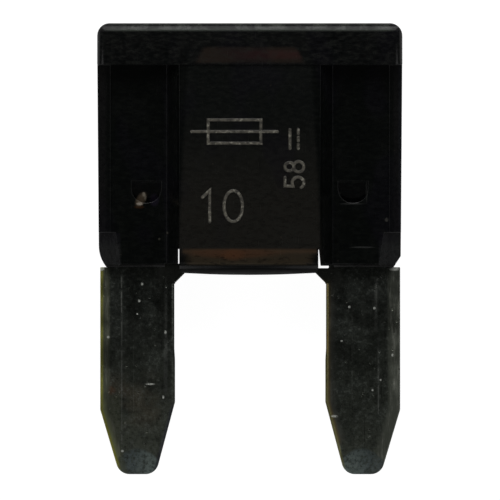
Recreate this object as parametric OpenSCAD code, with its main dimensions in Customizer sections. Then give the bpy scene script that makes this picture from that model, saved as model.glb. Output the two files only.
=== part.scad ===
// Small automotive blade fuse: a smoked moulded housing over one stamped and plated strip.
// It lies on its back. X runs across the two blades, +Y points from the blades to the head,
// +Z points out of the front face, and the origin is under the middle of the whole fuse.
// Sizes are in millimetres.

/* [Whole fuse] */
// Length from the top of the head to the blade tips
total_length = 16.3; // [14:0.05:20]
// How far the housing stands out past the blades on each side
side_margin = 0.085; // [0.02:0.005:0.5]
// Thickness of the head and of the raised middle panel
head_thickness = 3.6; // [3:0.05:5]

/* [Head] */
// Height of the full-thickness head bar
head_height = 1.5; // [1:0.05:2.5]
// Round of the two upper corners, seen from the front
head_corner_round = 0.46; // [0.1:0.01:0.6]
// Round along the front and back edges of the head
head_edge_round = 0.3; // [0.1:0.01:0.6]
// Width of each test slot in the top of the head
probe_slot_width = 1.2; // [0.6:0.05:1.6]
// Thickness of each test slot in the top of the head
probe_slot_thickness = 0.7; // [0.4:0.05:1]
// Diameter of the moulding gate mark in the top of the head
gate_mark_diameter = 0.9; // [0.4:0.05:1.4]
// Depth of the moulding gate mark
gate_mark_depth = 0.08; // [0.03:0.01:0.2]

/* [Side portions] */
// Thickness of the two thinner side portions
side_thickness = 2.2; // [1.8:0.05:3]
// How much each side leans in from the head to the foot
side_draft = 0.05; // [0:0.01:0.3]
// Width of the bevel along each outer edge
edge_bevel_width = 0.47; // [0.2:0.01:0.7]
// Depth of the bevel along each outer edge
edge_bevel_depth = 0.32; // [0.1:0.01:0.6]
// Height of the lead-in facets above the foot
facet_height = 1.26; // [0.6:0.02:2]
// Width of the lead-in facets at their upper end
facet_head_width = 0.67; // [0.5:0.01:0.9]
// Width of the lead-in facets at the foot
facet_foot_width = 0.85; // [0.6:0.01:1]
// Depth of the lead-in facets at the outer side
facet_depth = 0.62; // [0.3:0.01:0.8]
// Chamfer along the front and back edges of the foot
foot_chamfer = 0.12; // [0.04:0.01:0.2]
// Radius of the long round over the left lower corner
left_round_radius = 1.2; // [0.9:0.05:1.6]
// Height of the middle of that round above the foot
left_round_height = 0.77; // [0.6:0.01:0.88]
// Width of the chamfer on the right lower corner
right_chamfer_width = 0.26; // [0.1:0.01:0.45]
// Height of the chamfer on the right lower corner
right_chamfer_height = 0.4; // [0.2:0.01:0.6]

/* [Middle panel] */
// How much lower than the head the panel begins; it comes level with the head at the lip
panel_step = 0.05; // [0.02:0.01:0.15]
// How far the flat face of the panel stays inside the inner edges of the blades
panel_inset = 0.205; // [0.1:0.005:0.5]
// Width of each sloping flank beside the face
panel_flank_width = 0.48; // [0.2:0.01:0.7]
// How far the lowest point of the lip hangs below the foot
lip_drop = 0.28; // [0.1:0.01:0.5]
// Radius of the bowed lower edge of the lip
lip_bow_radius = 40; // [20:1:80]
// Height of the bevel on the lip
lip_bevel_height = 0.54; // [0.3:0.01:0.8]
// Depth of the bevel on the lip
lip_bevel_depth = 0.3; // [0.1:0.01:0.4]
// Round under the bevel of the lip
lip_round = 0.43; // [0.3:0.01:0.5]
// How far each side of the lip stays inside the flat face of the panel
lip_inset = 0.005; // [0:0.005:0.2]
// How far the lip stands to the left of the middle
lip_shift = 0.035; // [0:0.005:0.1]
// Round of the two lower corners of the lip
lip_corner_round = 0.2; // [0.1:0.01:0.3]
// Width of the open slit on the left of the lip
left_slit_width = 0.05; // [0.04:0.005:0.3]
// Width of the open slit on the right of the lip, at the foot
right_slit_width = 0.09; // [0.05:0.01:0.3]
// Width of the slit on the right at its upper end
right_slit_head_width = 0.03; // [0.03:0.01:0.3]
// Height of the open slits above the foot
slit_height = 0.66; // [0.4:0.01:0.67]
// Height of the relief in the foot next to the right slit
relief_height = 0.05; // [0.04:0.01:0.2]

/* [Inside the housing] */
// Thickness of the middle chamber around the fusible link
chamber_thickness = 1.9; // [1.4:0.05:2.2]
// Wall on each side of the middle chamber, out to the edge of the panel face
chamber_wall = 0.315; // [0.2:0.005:0.6]
// Distance of the full-width chamber from the head
chamber_roof = 0.25; // [0.1:0.05:0.6]
// Thickness of the head over the narrow top of the chamber
window_roof = 0.85; // [0.5:0.05:1.2]
// How much each side of the narrow top steps in, below the head and again inside it
window_step = 0.3; // [0.1:0.05:0.5]
// Play of the strip in its slot at each face
face_play = 0.03; // [0.01:0.01:0.1]
// Play of the strip in its slot at each side
side_play = 0.07; // [0.05:0.01:0.15]
// Gap between the foot and the shoulders of the strip
seat_gap = 0; // [0:0.01:0.1]
// Play of the legs under the top of their slot
top_play = 0.04; // [0.01:0.01:0.1]

/* [Stakes] */
// Diameter of the plastic stakes through the strip
stake_diameter = 0.6; // [0.4:0.02:0.8]
// Play between a stake and its hole
stake_play = 0.06; // [0.02:0.01:0.1]
// How far each stake stands inside the middle of its leg
stake_inset = 0.13; // [0:0.005:0.3]
// Height of the stakes above the foot
stake_height = 2.72; // [1.5:0.02:4]
// Width of the punched mark over each stake
stake_mark_width = 1.12; // [0.8:0.02:1.4]
// Height of the punched mark over each stake
stake_mark_height = 0.82; // [0.6:0.02:1.2]
// Depth of the punched mark at its lower end
stake_mark_depth = 0.3; // [0.1:0.02:0.4]

/* [Blades] */
// Thickness of the strip
strip_thickness = 0.8; // [0.6:0.02:1]
// Length of the blades below the shoulders
blade_length = 7.49; // [6:0.01:9]
// Width of each blade
blade_width = 2.705; // [2.4:0.005:3]
// Distance between the middles of the two blades
blade_pitch = 8.145; // [7.6:0.005:8.6]
// How far the strip stands to the right of the middle of the housing
strip_shift = 0.015; // [0:0.005:0.05]
// Length of the taper on the outer edge of a blade
outer_taper_length = 2.34; // [1.5:0.01:3.5]
// Length of the taper on the inner edge of a blade
inner_taper_length = 2.61; // [1.5:0.01:3.5]
// Width of a blade tip before its corners are rounded
tip_width = 1.31; // [0.8:0.01:1.6]
// Round of the corners of a blade tip
tip_round = 0.48; // [0.1:0.01:0.6]
// Height of the coined slope on a blade tip
tip_slope_height = 0.94; // [0.4:0.02:1.4]
// Depth of the coined slope on a blade tip
tip_slope_depth = 0.2; // [0.05:0.01:0.3]
// Width of the rolled-over band on the outer edge of a blade
outer_band_width = 0.38; // [0.1:0.01:0.6]
// Depth of the rolled-over band on the outer edge of a blade
outer_band_depth = 0.08; // [0.02:0.01:0.2]
// Width of the broken inner edge of a blade
inner_band_width = 0.12; // [0.04:0.01:0.3]
// Depth of the broken inner edge of a blade
inner_band_depth = 0.06; // [0.02:0.01:0.2]
// How much narrower the upper part of a blade is on its inner side
inner_step = 0.025; // [0.01:0.005:0.1]
// Height of the narrow part's lower end above the tip
inner_step_height = 4.15; // [3:0.05:5]
// Length over which the narrow part widens
inner_step_run = 0.4; // [0.1:0.05:1]

/* [Shoulders and legs] */
// Slant in the corner between a blade and its inner stop
gusset = 0.42; // [0.2:0.01:0.6]
// Top of the left inner stop, above the shoulder
left_stop_rise = 0.13; // [0.02:0.005:0.2]
// Top of the right inner stop, below the shoulder
right_stop_drop = 0.035; // [0:0.005:0.2]
// Height of the straight end of the right inner stop
stop_heel = 0.14; // [0.02:0.01:0.2]
// Width of each leg inside the housing
leg_width = 2.04; // [1.5:0.01:2.1]
// Width of the shoulder outside each leg
shoulder_width = 0.54; // [0.4:0.01:0.7]
// Distance of the upper end of each leg from the head
leg_head_gap = 0.79; // [0.3:0.01:1.2]
// Cut corners at the upper end of each leg
leg_corner = 0.2; // [0.05:0.01:0.4]

/* [Fusible link] */
// Width of the link
link_width = 0.46; // [0.2:0.02:0.8]
// Thickness of the link
link_thickness = 0.3; // [0.1:0.02:0.6]
// Distance of the two bends from the middle of the strip
link_bend_offset = 0.8; // [0.4:0.02:0.9]
// Height of the lowest run of the link above the shoulders
link_foot = 1.45; // [1:0.05:2]
// Distance of the highest run of the link from the head
link_head_gap = 1.45; // [1:0.05:2]
// Width of the neck in the middle of the link
neck_width = 0.24; // [0.1:0.02:0.4]
// Length of the neck in the middle of the link
neck_length = 0.5; // [0.2:0.02:0.9]
// Size of the slanted root where the link leaves a leg
link_root = 0.35; // [0.1:0.01:0.5]

/* [Hidden] */
$fn = 48;
over = 0.5;
join = 0.1;
far = 30;
mid_z = head_thickness / 2;
top_y = total_length / 2;
tip_y = -total_length / 2;
shoulder_y = tip_y + blade_length;
foot_y = shoulder_y + seat_gap;
head_foot_y = top_y - head_height;
blade_outer = blade_pitch / 2 + blade_width / 2;
blade_inner = blade_pitch / 2 - blade_width / 2;
half_width = blade_outer + side_margin;
head_width = 2 * half_width;
foot_half = half_width - side_draft;
side_half_z = side_thickness / 2;
side_face_z = mid_z + side_half_z;
panel_half = blade_inner - panel_inset;
flank_half = panel_half + panel_flank_width;
lip_y = foot_y - lip_drop;
lip_half = panel_half - lip_inset;
lip_bow_rise = lip_half * lip_half / (2 * lip_bow_radius);
lip_arc_y = lip_y + lip_round;
lip_bevel_y = lip_arc_y + lip_bevel_height;
lip_arc_z = head_thickness - lip_bevel_depth - lip_round;
slit_top_y = foot_y + slit_height;
panel_end_y = head_foot_y + over;
panel_end_z = panel_step * (panel_end_y - lip_bevel_y) / (head_foot_y - lip_bevel_y);
left_slit_outer = lip_half + lip_shift + left_slit_width;
right_slit_outer = lip_half - lip_shift + right_slit_width;
right_slit_head = lip_half - lip_shift + right_slit_head_width;
facet_top_y = foot_y + facet_height;
facet_turn = atan((facet_foot_width - facet_head_width) / facet_height);
strip_half_z = strip_thickness / 2;
slot_half_z = strip_half_z + face_play;
leg_reach = blade_outer - shoulder_width;
leg_inner = leg_reach - leg_width;
leg_middle = leg_reach - leg_width / 2;
leg_top_y = head_foot_y - leg_head_gap;
slot_half_x = leg_reach + side_play;
slot_top_y = leg_top_y + top_play;
chamber_half = panel_half - chamber_wall;
window_foot_half = chamber_half - window_step;
window_top_half = window_foot_half - window_step;
window_top_y = top_y - window_roof;
stake_offset = leg_middle - stake_inset;
stake_y = foot_y + stake_height;
hole_diameter = stake_diameter + 2 * stake_play;
mark_top_y = stake_y + stake_mark_height / 2;
mark_foot_y = stake_y - stake_mark_height / 2;
tip_outer = blade_pitch / 2 + tip_width / 2;
tip_inner = blade_pitch / 2 - tip_width / 2;
stop_inner = blade_inner + inner_step - gusset;
gusset_y = shoulder_y - right_stop_drop - stop_heel;
link_low_y = shoulder_y + link_foot;
link_high_y = head_foot_y - link_head_gap;
link_mid_y = (link_low_y + link_high_y) / 2;
link_bend_radius = (link_high_y - link_mid_y) / 2;

// Straight solid from an outline in X and Y
module along_z(z_from, z_to) {
    translate([0, 0, z_from])
        linear_extrude(height = z_to - z_from)
            children();
}

// Straight solid from an outline whose X lies along Y and whose Y lies along Z
module along_x(x_from, x_to) {
    translate([x_from, 0, 0])
        rotate([90, 0, 90])
            linear_extrude(height = x_to - x_from)
                children();
}

// Straight solid from an outline in X and Z
module along_y(y_from, y_to) {
    translate([0, y_to, 0])
        rotate([90, 0, 0])
            linear_extrude(height = y_to - y_from)
                children();
}

// The same shape on the front and on the back
module both_faces() {
    children();
    translate([0, 0, head_thickness])
        mirror([0, 0, 1])
            children();
}

// The same shape on the right and on the left
module both_sides() {
    children();
    mirror([1, 0, 0])
        children();
}

// What a round of this radius takes off a corner at the origin that points down and left
module corner_waste(radius) {
    difference() {
        translate([-over, -over])
            square([radius + over, radius + over]);
        translate([radius, radius])
            circle(r = radius);
    }
}

// Head bar: three rounded outlines meet
module head_bar() {
    intersection() {
        along_z(-over, head_thickness + over)
            difference() {
                translate([-half_width, head_foot_y])
                    square([head_width, head_height]);
                both_sides()
                    translate([-half_width, top_y])
                        mirror([0, 1, 0])
                            corner_waste(head_corner_round);
            }
        along_x(-far, far)
            difference() {
                translate([head_foot_y - over, 0])
                    square([head_height + over, head_thickness]);
                translate([top_y, 0])
                    mirror([1, 0, 0])
                        corner_waste(head_edge_round);
                translate([top_y, head_thickness])
                    rotate(180)
                        corner_waste(head_edge_round);
            }
        along_y(-far, far)
            difference() {
                translate([-half_width, 0])
                    square([head_width, head_thickness]);
                both_sides()
                    translate([-half_width, 0])
                        corner_waste(head_edge_round);
                both_sides()
                    translate([half_width, head_thickness])
                        rotate(180)
                            corner_waste(head_edge_round);
            }
    }
}

// What the long round takes off the left lower corner, down to the foot
module left_corner_waste() {
    middle = [-foot_half + left_round_radius, foot_y + left_round_height];
    difference() {
        translate([-foot_half - over, foot_y - over])
            square([left_round_radius + over, left_round_height + over]);
        translate(middle)
            circle(r = left_round_radius);
    }
}

// Outline of the body from the front, with its draft, lower corners, lip and slits
module body_outline() {
    difference() {
        polygon([
            [-half_width, head_foot_y + over],
            [half_width, head_foot_y + over],
            [half_width, head_foot_y],
            [foot_half, foot_y + right_chamfer_height],
            [foot_half - right_chamfer_width, foot_y],
            [right_slit_outer + panel_flank_width, foot_y],
            [right_slit_outer + panel_flank_width, foot_y + relief_height],
            [right_slit_outer, foot_y + relief_height],
            [right_slit_head, slit_top_y],
            [-left_slit_outer, slit_top_y],
            [-left_slit_outer, foot_y + left_stop_rise],
            [-left_slit_outer - panel_flank_width, foot_y + left_stop_rise],
            [-left_slit_outer - panel_flank_width, foot_y],
            [-foot_half, foot_y],
            [-foot_half, foot_y + left_round_height],
            [-half_width, head_foot_y]
        ]);
        left_corner_waste();
    }
}

// Outline of the lip between the slits, with its bowed lower edge
module lip_outline() {
    translate([-lip_shift, 0])
        intersection() {
            difference() {
                translate([-lip_half, lip_y - over])
                    square([2 * lip_half, slit_top_y - lip_y + 2 * over]);
                both_sides()
                    translate([-lip_half, lip_y + lip_bow_rise / 2])
                        corner_waste(lip_corner_round);
            }
            translate([0, lip_y + lip_bow_radius])
                circle(r = lip_bow_radius, $fn = 360);
        }
}

// Side portions: bevelled along the outer edges and chamfered along the foot
module side_slab() {
    intersection() {
        along_y(foot_y - 2 * over, head_foot_y + over)
            polygon([
                [-half_width, mid_z - side_half_z + edge_bevel_depth],
                [-half_width + edge_bevel_width, mid_z - side_half_z],
                [half_width - edge_bevel_width, mid_z - side_half_z],
                [half_width, mid_z - side_half_z + edge_bevel_depth],
                [half_width, side_face_z - edge_bevel_depth],
                [half_width - edge_bevel_width, side_face_z],
                [-half_width + edge_bevel_width, side_face_z],
                [-half_width, side_face_z - edge_bevel_depth]
            ]);
        along_x(-far, far)
            polygon([
                [foot_y, mid_z - side_half_z + foot_chamfer],
                [foot_y + foot_chamfer, mid_z - side_half_z],
                [head_foot_y + over, mid_z - side_half_z],
                [head_foot_y + over, side_face_z],
                [foot_y + foot_chamfer, side_face_z],
                [foot_y, side_face_z - foot_chamfer]
            ]);
        along_z(-over, head_thickness + over)
            body_outline();
    }
}

// Lead-in facet over the right lower corner of the front face
module facet_waste() {
    reach = 2;
    intersection() {
        translate([half_width - facet_head_width, facet_top_y, side_face_z])
            rotate([0, 0, -facet_turn])
                along_y(-far, over)
                    polygon([
                        [0, 0],
                        [reach, -reach * facet_depth / facet_head_width],
                        [reach, over],
                        [0, over]
                    ]);
        translate([0, foot_y - 2 * over, 0])
            cube([far, facet_height + 2 * over, far]);
    }
}

// Outline of the panel from below, with its sloping flanks
module panel_section() {
    polygon([
        [-flank_half, mid_z - side_half_z],
        [-panel_half, 0],
        [panel_half, 0],
        [flank_half, mid_z - side_half_z],
        [flank_half, side_face_z],
        [panel_half, head_thickness],
        [-panel_half, head_thickness],
        [-flank_half, side_face_z]
    ]);
}

// Upper panel, a little lower at the head, and its two flank feet beside the slits
module panel_block() {
    intersection() {
        along_y(foot_y - over, panel_end_y)
            panel_section();
        along_x(-far, far)
            polygon([
                [foot_y - over, 0],
                [lip_bevel_y, 0],
                [panel_end_y, panel_end_z],
                [panel_end_y, head_thickness - panel_end_z],
                [lip_bevel_y, head_thickness],
                [foot_y - over, head_thickness]
            ]);
        along_z(-over, head_thickness + over)
            body_outline();
    }
}

// Lip: bevelled, then rounded, front and back
module lip_block() {
    intersection() {
        along_y(lip_y - over, panel_end_y)
            panel_section();
        along_z(-over, head_thickness + over)
            lip_outline();
        along_x(-far, far)
            union() {
                polygon([
                    [lip_bevel_y, 0],
                    [panel_end_y, panel_end_z],
                    [panel_end_y, head_thickness - panel_end_z],
                    [lip_bevel_y, head_thickness],
                    [lip_arc_y, head_thickness - lip_bevel_depth],
                    [lip_arc_y, lip_bevel_depth]
                ]);
                translate([lip_y, head_thickness - lip_arc_z])
                    square([lip_round + join, 2 * lip_arc_z - head_thickness]);
                translate([lip_arc_y, lip_arc_z])
                    circle(r = lip_round);
                translate([lip_arc_y, head_thickness - lip_arc_z])
                    circle(r = lip_round);
            }
    }
}

// The bevel of the lip also runs across the panel, down to the slits
module lip_bevel_waste() {
    along_x(-lip_half - lip_shift, lip_half - lip_shift)
        polygon([
            [lip_bevel_y, head_thickness],
            [lip_bevel_y, head_thickness + over],
            [lip_y - over, head_thickness + over],
            [lip_y - over, head_thickness - lip_bevel_depth],
            [lip_arc_y, head_thickness - lip_bevel_depth]
        ]);
}

// Hollow inside, open at the foot: slot for the strip, chamber for the link
module hollow() {
    along_z(mid_z - slot_half_z, mid_z + slot_half_z)
        translate([-slot_half_x, lip_y - over])
            square([2 * slot_half_x, slot_top_y - lip_y + over]);
    along_z(mid_z - chamber_thickness / 2, mid_z + chamber_thickness / 2)
        polygon([
            [-chamber_half, lip_y - over],
            [chamber_half, lip_y - over],
            [chamber_half, head_foot_y - chamber_roof],
            [window_foot_half, head_foot_y],
            [window_top_half, window_top_y],
            [-window_top_half, window_top_y],
            [-window_foot_half, head_foot_y],
            [-chamber_half, head_foot_y - chamber_roof]
        ]);
}

// Test slots and gate mark in the top of the head
module head_openings() {
    both_sides()
        translate([leg_middle - probe_slot_width / 2, slot_top_y - over, mid_z - probe_slot_thickness / 2])
            cube([probe_slot_width, top_y - slot_top_y + 2 * over, probe_slot_thickness]);
    translate([0, top_y - gate_mark_depth, mid_z])
        rotate([-90, 0, 0])
            cylinder(d = gate_mark_diameter, h = over);
}

// Punched mark over a stake: a U whose floor slopes down to its rounded end
module stake_mark_waste() {
    radius = stake_mark_width / 2;
    slope = stake_mark_depth / stake_mark_height;
    intersection() {
        along_z(mid_z + slot_half_z, side_face_z + over)
            union() {
                translate([stake_offset, mark_foot_y + radius])
                    circle(r = radius);
                translate([stake_offset - radius, mark_foot_y + radius])
                    square([stake_mark_width, stake_mark_height - radius + over]);
            }
        along_x(0, far)
            polygon([
                [mark_top_y, side_face_z],
                [mark_top_y, side_face_z + over],
                [mark_foot_y - over, side_face_z + over],
                [mark_foot_y - over, side_face_z - stake_mark_depth - over * slope]
            ]);
    }
}

module stake() {
    translate([stake_offset, stake_y, mid_z - slot_half_z - join])
        cylinder(d = stake_diameter, h = 2 * (slot_half_z + join));
}

module housing() {
    color([0.07, 0.065, 0.06])
        union() {
            difference() {
                union() {
                    head_bar();
                    side_slab();
                    panel_block();
                    lip_block();
                }
                both_sides()
                    both_faces()
                        facet_waste();
                both_sides()
                    both_faces()
                        stake_mark_waste();
                both_faces()
                    lip_bevel_waste();
                hollow();
                head_openings();
            }
            both_sides()
                stake();
        }
}

// Slanting waste along an edge from one point to another, with the blade on its left
module edge_waste(start, end, width, depth) {
    run = end - start;
    slope = depth / width;
    both_faces()
        translate([start[0], start[1], mid_z + strip_half_z])
            rotate([0, 0, atan2(run[1], run[0])])
                along_x(0, norm(run))
                    polygon([
                        [-over, -depth - slope * over],
                        [width, 0],
                        [width, over],
                        [-over, over]
                    ]);
}

// Outline of the right blade with its shoulder and inner stop
module blade_outline(stop_y) {
    polygon([
        [blade_outer, shoulder_y],
        [leg_inner, shoulder_y],
        [leg_inner, stop_y],
        [stop_inner, stop_y],
        [stop_inner, gusset_y],
        [blade_inner + inner_step, gusset_y - gusset],
        [blade_inner + inner_step, tip_y + inner_step_height + inner_step_run],
        [blade_inner, tip_y + inner_step_height],
        [blade_inner, tip_y + inner_taper_length],
        [tip_inner, tip_y],
        [tip_outer, tip_y],
        [blade_outer, tip_y + outer_taper_length]
    ]);
}

// What the rounds take off the two corners of the right blade's tip
module tip_corner_waste() {
    translate([tip_outer, tip_y])
        mirror([1, 0])
            slanted_corner_waste((blade_width - tip_width) / 2 / outer_taper_length);
    translate([tip_inner, tip_y])
        slanted_corner_waste((blade_width - tip_width) / 2 / inner_taper_length);
}

// Waste of a round between the tip line and an edge that leans out by the slope
module slanted_corner_waste(slope) {
    lean = atan(slope);
    middle_x = tip_round * (1 - sin(lean)) / cos(lean);
    touch = [middle_x - tip_round * cos(lean), tip_round - tip_round * sin(lean)];
    difference() {
        polygon([
            [-over, -over],
            [middle_x, -over],
            [middle_x, tip_round],
            touch,
            [touch[0] - over, touch[1]]
        ]);
        translate([middle_x, tip_round])
            circle(r = tip_round);
    }
}

module right_blade(stop_y) {
    difference() {
        along_z(mid_z - strip_half_z, mid_z + strip_half_z)
            difference() {
                blade_outline(stop_y);
                tip_corner_waste();
            }
        edge_waste([blade_outer, tip_y - over], [blade_outer, shoulder_y + over], outer_band_width,
            outer_band_depth);
        edge_waste([tip_outer, tip_y], [blade_outer, tip_y + outer_taper_length], outer_band_width,
            outer_band_depth);
        edge_waste([tip_inner - over, tip_y], [tip_outer + over, tip_y], tip_slope_height,
            tip_slope_depth);
        edge_waste([blade_inner, gusset_y - gusset], [blade_inner, tip_y], inner_band_width,
            inner_band_depth);
        edge_waste([blade_inner, tip_y + inner_taper_length], [tip_inner, tip_y], inner_band_width,
            inner_band_depth);
    }
}

module right_leg() {
    difference() {
        along_z(mid_z - strip_half_z, mid_z + strip_half_z)
            polygon([
                [leg_inner, shoulder_y - join],
                [leg_reach, shoulder_y - join],
                [leg_reach, leg_top_y - leg_corner],
                [leg_reach - leg_corner, leg_top_y],
                [leg_inner + leg_corner, leg_top_y],
                [leg_inner, leg_top_y - leg_corner]
            ]);
        translate([stake_offset, stake_y, -over])
            cylinder(d = hole_diameter, h = far);
    }
}

// Half ring on the right of the origin
module half_ring(radius, width) {
    intersection() {
        difference() {
            circle(r = radius + width / 2);
            circle(r = radius - width / 2);
        }
        translate([0, -far / 2])
            square([far / 2, far]);
    }
}

// S-shaped link with a neck in its middle run, thinner than the legs
module link_outline() {
    half = link_width / 2;
    neck_cut = (link_width - neck_width) / 2;
    difference() {
        union() {
            translate([-leg_inner - join, link_low_y - half])
                square([leg_inner + join + link_bend_offset, link_width]);
            translate([link_bend_offset, link_low_y + link_bend_radius])
                half_ring(link_bend_radius, link_width);
            translate([-link_bend_offset, link_mid_y - half])
                square([2 * link_bend_offset, link_width]);
            translate([-link_bend_offset, link_mid_y + link_bend_radius])
                mirror([1, 0])
                    half_ring(link_bend_radius, link_width);
            translate([-link_bend_offset, link_high_y - half])
                square([leg_inner + join + link_bend_offset, link_width]);
            polygon([
                [-leg_inner - join, link_low_y - half - link_root],
                [-leg_inner, link_low_y - half - link_root],
                [-leg_inner + link_root, link_low_y],
                [-leg_inner, link_low_y + half + link_root],
                [-leg_inner - join, link_low_y + half + link_root]
            ]);
            polygon([
                [leg_inner + join, link_high_y - half - link_root],
                [leg_inner, link_high_y - half - link_root],
                [leg_inner - link_root, link_high_y],
                [leg_inner, link_high_y + half + link_root],
                [leg_inner + join, link_high_y + half + link_root]
            ]);
        }
        translate([-neck_length / 2, link_mid_y + half - neck_cut])
            square([neck_length, over / 2]);
        translate([-neck_length / 2, link_mid_y - half + neck_cut - over / 2])
            square([neck_length, over / 2]);
    }
}

module fuse_element() {
    color([0.42, 0.42, 0.4])
        translate([strip_shift, 0, 0])
            union() {
                right_blade(shoulder_y - right_stop_drop);
                right_leg();
                mirror([1, 0, 0])
                    right_blade(shoulder_y + left_stop_rise);
                mirror([1, 0, 0])
                    right_leg();
                along_z(mid_z - link_thickness / 2, mid_z + link_thickness / 2)
                    link_outline();
            }
}

housing();
fuse_element();
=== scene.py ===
# %% [markdown]
# # A small blade fuse under a light tent
#
# This notebook dresses one small object: a plug-in fuse with a dark smoked housing and two
# flat metal blades. The solids come from the CAD frame and already have the right shape and
# size, so the work here is light, edges, finishes and the small moulded marks. Places on the
# object are written in millimetres: x to the right, y from the blade tips to the head and z
# out of the front. Blender itself works in metres.

import math

import bmesh
import bpy
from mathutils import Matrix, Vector


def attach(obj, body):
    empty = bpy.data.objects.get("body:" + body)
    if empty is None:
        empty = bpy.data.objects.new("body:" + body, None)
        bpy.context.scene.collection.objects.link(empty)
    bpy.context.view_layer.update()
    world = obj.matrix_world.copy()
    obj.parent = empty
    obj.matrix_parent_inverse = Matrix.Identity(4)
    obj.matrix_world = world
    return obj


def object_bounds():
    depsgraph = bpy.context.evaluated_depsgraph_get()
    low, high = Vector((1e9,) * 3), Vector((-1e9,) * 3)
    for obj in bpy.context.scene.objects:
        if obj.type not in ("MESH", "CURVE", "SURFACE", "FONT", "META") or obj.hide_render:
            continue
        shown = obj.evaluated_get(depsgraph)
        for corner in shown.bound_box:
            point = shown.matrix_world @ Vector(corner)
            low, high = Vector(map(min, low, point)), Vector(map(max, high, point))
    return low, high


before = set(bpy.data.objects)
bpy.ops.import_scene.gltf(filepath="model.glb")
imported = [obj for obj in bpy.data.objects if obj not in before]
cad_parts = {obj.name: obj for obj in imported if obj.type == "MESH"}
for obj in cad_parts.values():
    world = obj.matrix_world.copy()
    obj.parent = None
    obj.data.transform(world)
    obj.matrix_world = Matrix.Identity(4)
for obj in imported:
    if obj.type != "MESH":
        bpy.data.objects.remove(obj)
solid_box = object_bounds()
MM = 0.001
THICKNESS = round((solid_box[1][2] - solid_box[0][2]) / MM, 3)
MIDDLE_HEIGHT = THICKNESS / 2
print("size in mm:", [round(v / MM, 2) for v in solid_box[1] - solid_box[0]])

# %% [markdown]
# ## The camera
#
# The fuse lies on its back and is looked at from straight above, from so far away that no
# side wall shows. A long lens does that. The other way is an orthographic camera, but a real
# long lens keeps a trace of depth in the slits, as a photograph does.

# %% Camera
VIEW_WIDTH = 18.096 * MM
AIM = (0.008 * MM, -0.039 * MM)
CAMERA_HEIGHT = 0.6
SENSOR_WIDTH = 36.0
NEAR_CLIP, FAR_CLIP = 0.05, 2.0
scene = bpy.context.scene
camera_data = bpy.data.cameras.new("copy_stand")
camera_data.sensor_width = SENSOR_WIDTH
camera_data.lens = SENSOR_WIDTH * (CAMERA_HEIGHT - MIDDLE_HEIGHT * MM) / VIEW_WIDTH
camera_data.clip_start = NEAR_CLIP
camera_data.clip_end = FAR_CLIP
camera = bpy.data.objects.new("copy_stand", camera_data)
camera.location = (*AIM, CAMERA_HEIGHT)
scene.collection.objects.link(camera)
scene.camera = camera
scene.view_settings.view_transform = "Standard"
print("lens in mm:", round(camera_data.lens, 1))

# %% [markdown]
# ## Helpers for finishes
#
# A finish is a tree of nodes. Three helpers keep the tree short to write: one turns a colour
# that was read off a screen into the linear numbers that a shader wants, one adds a node and
# plugs in its inputs, and one does a step of arithmetic.

# %% Node helpers
def tone(red, green, blue):
    """A colour of 0 to 255 on the screen, as linear red, green, blue and alpha."""
    linear = []
    for value in (red, green, blue):
        share = value / 255
        linear.append(share / 12.92 if share <= 0.04045 else ((share + 0.055) / 1.055) ** 2.4)
    return (*linear, 1.0)


def add_node(tree, kind, *plugs, **settings):
    """A new node. Each plug is a socket or a value, for the inputs in their order."""
    node = tree.nodes.new(kind)
    for name, value in settings.items():
        setattr(node, name, value)
    for socket, plug in zip(node.inputs, plugs):
        if plug is None:
            continue
        if isinstance(plug, bpy.types.NodeSocket):
            tree.links.new(plug, socket)
        else:
            socket.default_value = plug
    return node


def maths(tree, operation, *plugs):
    """One step of arithmetic. The result is a socket."""
    return add_node(tree, "ShaderNodeMath", *plugs, operation=operation).outputs[0]


print("a screen grey of 128 is", round(tone(128, 128, 128)[0], 3))

# %% [markdown]
# Masks say where on the object a finish changes. They are built from smooth steps along one
# direction: two steps make a strip, two strips make a patch, and a product of masks is where
# all of them hold. An image would do the same, but steps stay sharp at any distance and need
# no file.

# %% Masks
def rise(tree, value, start, end):
    """0 at start, 1 at end, and a smooth step between. The start may be the larger one."""
    node = add_node(tree, "ShaderNodeMapRange", value, interpolation_type="SMOOTHSTEP")
    node.inputs["From Min"].default_value = start
    node.inputs["From Max"].default_value = end
    return node.outputs[0]


def outside(tree, mask):
    """1 where the mask is 0."""
    return rise(tree, mask, 1.0, 0.0)


def times(tree, first, *others):
    """The product of masks and shares."""
    for other in others:
        first = maths(tree, "MULTIPLY", first, other)
    return first


def strip(tree, value, low, high, soft):
    """1 between low and high, fading over soft on both sides."""
    up = rise(tree, value, low - soft, low + soft)
    down = rise(tree, value, high + soft, high - soft)
    return times(tree, up, down)


def patch(tree, place, x_range, y_range, soft):
    """A soft rectangle seen from the front."""
    across = strip(tree, place["x"], *x_range, soft)
    along = strip(tree, place["y"], *y_range, soft)
    return times(tree, across, along)


def blob(tree, place, x, y, half_width, half_height, turn=0.0):
    """A soft oval seen from the front, 1 in its middle and 0 at its rim."""
    dx = maths(tree, "SUBTRACT", place["x"], x)
    dy = maths(tree, "SUBTRACT", place["y"], y)
    c, s = math.cos(math.radians(turn)), math.sin(math.radians(turn))
    along = maths(tree, "ADD", times(tree, dx, c / half_width), times(tree, dy, s / half_width))
    across = maths(tree, "SUBTRACT", times(tree, dy, c / half_height), times(tree, dx, s / half_height))
    square = maths(tree, "ADD", times(tree, along, along), times(tree, across, across))
    return rise(tree, square, 1.0, 0.0)


print("mask helpers ready")

# %% [markdown]
# Painting is a mix of what is there and a new colour under a mask. Each coat goes over the
# ones before it, as on a real object: first the regions, then dirt, then wear.

# %% Paint
# A Mix node has five inputs between its factor and its first colour.
UNUSED_MIX_INPUTS = [None] * 5


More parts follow.
